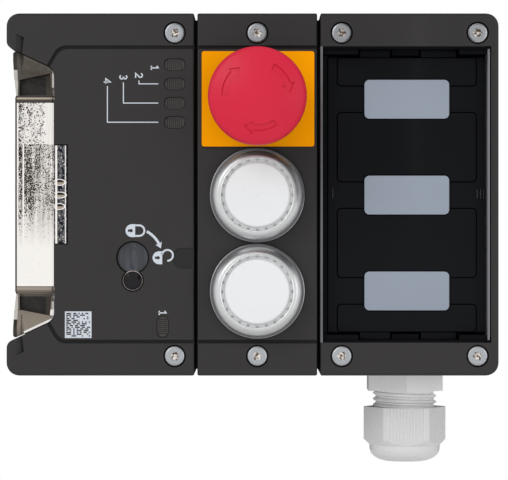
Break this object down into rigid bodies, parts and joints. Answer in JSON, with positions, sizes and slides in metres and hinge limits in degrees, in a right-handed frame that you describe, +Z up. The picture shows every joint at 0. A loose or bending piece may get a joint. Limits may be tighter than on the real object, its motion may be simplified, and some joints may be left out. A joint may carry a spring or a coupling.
{
  "type": "guard locking switch",
  "caption": "Modular guard locking switch: lock module with a metal tongue guide, control module with emergency stop and push-buttons, and bus module with label field and cable gland.",
  "frame": {"origin": "centre of the rear pattern of mounting screws, in the mounting face", "axes": "+X to the right seen from the front, +Y from the front into the wall, +Z up"},
  "size_m": [0.163, 0.072, 0.15],
  "materials": {
    "housing": "fine matte moulded, glass-filled",
    "seal_rubber": "matte black",
    "nickel_casting": "bright nickel plate on die-cast zinc",
    "zinc_steel": "zinc-plated",
    "dark_window": "smoked, ribbed",
    "slate_plastic": "satin moulded",
    "gloss_black": "polished",
    "lever_steel": "hardened and ground",
    "copper_winding": "enamelled copper wire",
    "spring_steel": "drawn wire",
    "circuit_board": "green solder mask",
    "black_plastic": "moulded",
    "orange_plastic": "satin moulded",
    "white_plastic": "moulded",
    "red_plastic": "satin moulded",
    "satin_nickel": "satin nickel plate",
    "white_lens": "milky, translucent",
    "grey_carrier": "light grey moulded",
    "panel_black": "satin black moulded",
    "label_grey": "blue-grey, anodised look",
    "terminal_green": "moulded",
    "light_grey_nylon": "light grey polyamide",
    "insert_rubber": "matte black",
    "screw_steel": "satin stainless"
  },
  "bodies": {
    "housing": {"lock_base": "housing", "lock_cover": "housing", "lock_cover_seal": "seal_rubber", "tongue_guide": "nickel_casting", "guide_screws": "zinc_steel", "indicator_light_guide": "dark_window", "slot_light_guide": "dark_window", "release_lock_screw": "gloss_black", "lever_pin": "zinc_steel", "solenoid_frame": "zinc_steel", "solenoid_coil": "copper_winding", "plunger_spring": "spring_steel", "lock_board": "circuit_board", "reader_head": "black_plastic", "joint_seals": "seal_rubber", "joint_connectors": "black_plastic", "joint_screws": "zinc_steel", "control_base": "housing", "control_cover": "housing", "control_cover_seal": "seal_rubber", "control_board": "circuit_board", "estop_plate": "orange_plastic", "estop_collar": "black_plastic", "estop_nut": "black_plastic", "estop_contact_block": "black_plastic", "button_upper_bezel": "satin_nickel", "button_upper_spring": "spring_steel", "button_upper_nut": "black_plastic", "button_upper_block": "black_plastic", "button_lower_bezel": "satin_nickel", "button_lower_spring": "spring_steel", "button_lower_nut": "black_plastic", "button_lower_block": "black_plastic", "button_gaskets": "seal_rubber", "bus_base": "housing", "bus_cover": "housing", "bus_cover_seal": "seal_rubber", "label_panel": "panel_black", "label_plate_upper": "label_grey", "label_plate_middle": "label_grey", "label_plate_lower": "label_grey", "bus_board": "circuit_board", "terminal_block": "terminal_green", "gland_body": "light_grey_nylon", "gland_locknut": "light_grey_nylon", "gland_insert": "insert_rubber", "gland_cap": "light_grey_nylon", "cover_screws": "screw_steel"},
    "release": {"release_rotor": "slate_plastic", "release_seal_ring": "seal_rubber", "release_clip": "zinc_steel"},
    "lever": {"locking_lever": "lever_steel"},
    "plunger": {"solenoid_plunger": "zinc_steel"},
    "stop_stem": {"estop_stem": "white_plastic"},
    "stop_head": {"estop_head": "red_plastic"},
    "button_upper": {"button_upper_lens": "white_lens", "button_upper_carrier": "grey_carrier"},
    "button_lower": {"button_lower_lens": "white_lens", "button_lower_carrier": "grey_carrier"}
  },
  "joints": [
    {"name": "release_turn", "type": "hinge", "parent": "housing", "child": "release", "pos_m": [-0.0397, -0.04, -0.0209], "axis": [0, 1, 0], "range_deg": [0, 90]},
    {"name": "lever_swing", "type": "hinge", "parent": "housing", "child": "lever", "pos_m": [-0.04054, -0.0315, -0.004], "axis": [0, 1, 0], "range_deg": [0, 9.2]},
    {"name": "plunger_lift", "type": "slide", "parent": "housing", "child": "plunger", "axis": [0, 0, 1], "range_m": [0, 0.00145], "deforming": ["plunger_spring"]},
    {"name": "stop_push", "type": "slide", "parent": "housing", "child": "stop_stem", "axis": [0, 1, 0], "range_m": [0, 0.0045], "stiffness_N_per_m": 1500},
    {"name": "stop_twist", "type": "hinge", "parent": "stop_stem", "child": "stop_head", "pos_m": [0.00155, -0.066, 0.0316], "axis": [0, 1, 0], "range_deg": [0, 35], "stiffness_Nm_per_rad": 0.08},
    {"name": "button_upper_push", "type": "slide", "parent": "housing", "child": "button_upper", "axis": [0, 1, 0], "range_m": [0, 0.002], "stiffness_N_per_m": 1200, "deforming": ["button_upper_spring"]},
    {"name": "button_lower_push", "type": "slide", "parent": "housing", "child": "button_lower", "axis": [0, 1, 0], "range_m": [0, 0.002], "stiffness_N_per_m": 1200, "deforming": ["button_lower_spring"]}
  ],
  "couplings": [
    {"joint": "release_turn", "follows": "plunger_lift", "rad_per_m": 1083},
    {"joint": "lever_swing", "follows": "plunger_lift", "rad_per_m": 110.6}
  ]
}
